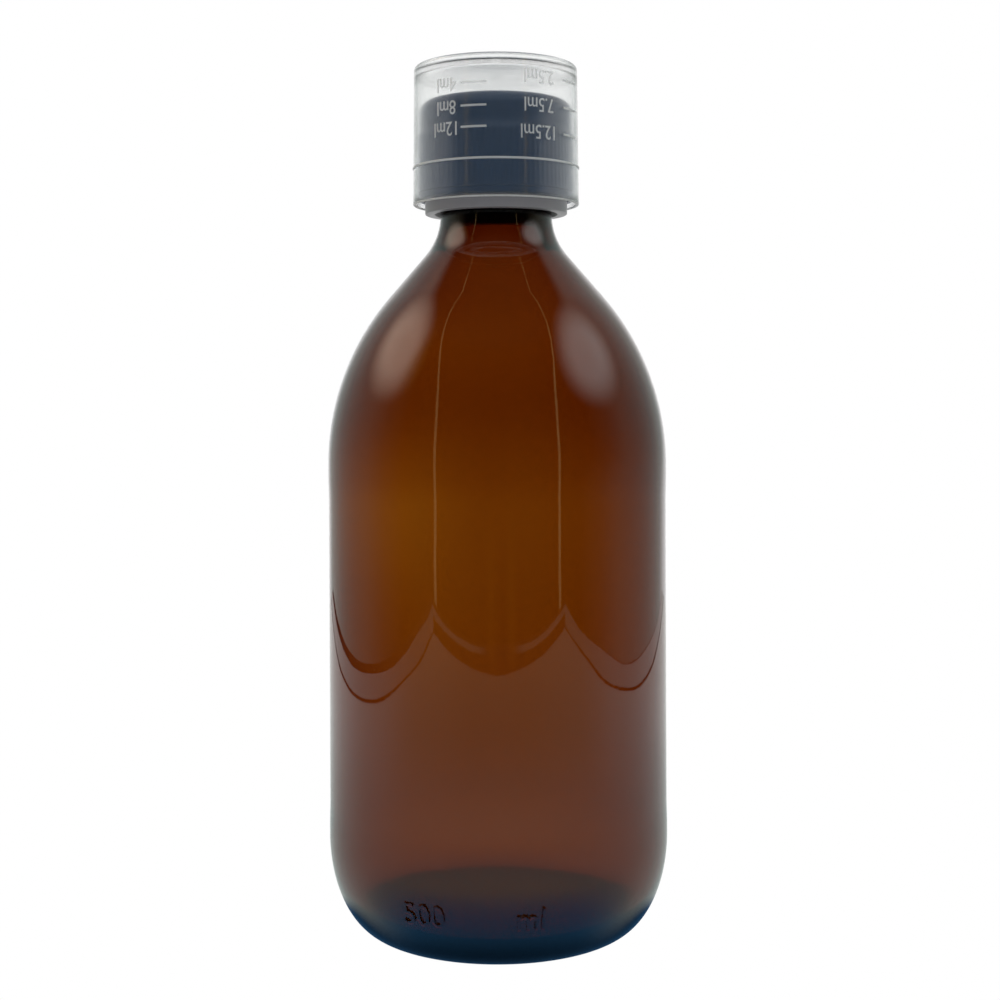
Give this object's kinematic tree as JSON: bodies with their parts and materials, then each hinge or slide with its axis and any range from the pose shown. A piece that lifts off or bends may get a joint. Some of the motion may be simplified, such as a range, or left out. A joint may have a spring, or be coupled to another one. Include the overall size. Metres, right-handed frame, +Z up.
{
  "type": "amber glass bottle",
  "caption": "Round amber glass syrup bottle with a push-and-turn screw closure, its tamper ring and a clear measuring cup pushed over the closure.",
  "frame": {"origin": "centre of the bottle's foot, on the surface it stands on", "axes": "+Z up along the axis of the bottle, -Y towards the viewer of the cup's scales"},
  "size_m": [0.0764, 0.0764, 0.1952],
  "materials": {
    "amber_glass": "fire-polished amber glass",
    "grey_plastic": "satin moulded polypropylene, dark grey",
    "liner_foam": "white closed-cell foam",
    "inner_plastic": "satin moulded polypropylene, slate",
    "navy_plastic": "satin moulded polypropylene, dark navy",
    "clear_plastic": "clear moulded polypropylene, slightly milky"
  },
  "bodies": {
    "bottle": {"bottle": "amber_glass", "tamper_ring": "grey_plastic"},
    "liner": {"liner": "liner_foam"},
    "inner_cap": {"inner_cap": "inner_plastic"},
    "outer_cap": {"outer_cap": "navy_plastic"},
    "measuring_cup": {"measuring_cup": "clear_plastic"}
  },
  "joints": [
    {"name": "cap_lift", "type": "slide", "parent": "bottle", "child": "liner", "axis": [0, 0, 1], "range_m": [0, 0.00481]},
    {"name": "cap_turn", "type": "hinge", "parent": "liner", "child": "inner_cap", "pos_m": [0, 0, 0.184], "axis": [0, 0, 1], "range_deg": [0, 540]},
    {"name": "shell_push", "type": "slide", "parent": "inner_cap", "child": "outer_cap", "axis": [0, 0, 1], "range_m": [-0.0007, 0], "stiffness_N_per_m": 5000, "springref_m": 0.0004},
    {"name": "cup_pull", "type": "slide", "parent": "outer_cap", "child": "measuring_cup", "axis": [0, 0, 1], "range_m": [0, 0.03]}
  ],
  "couplings": [
    {"joint": "cap_lift", "follows": "cap_turn", "m_per_rad": 0.0005093}
  ]
}
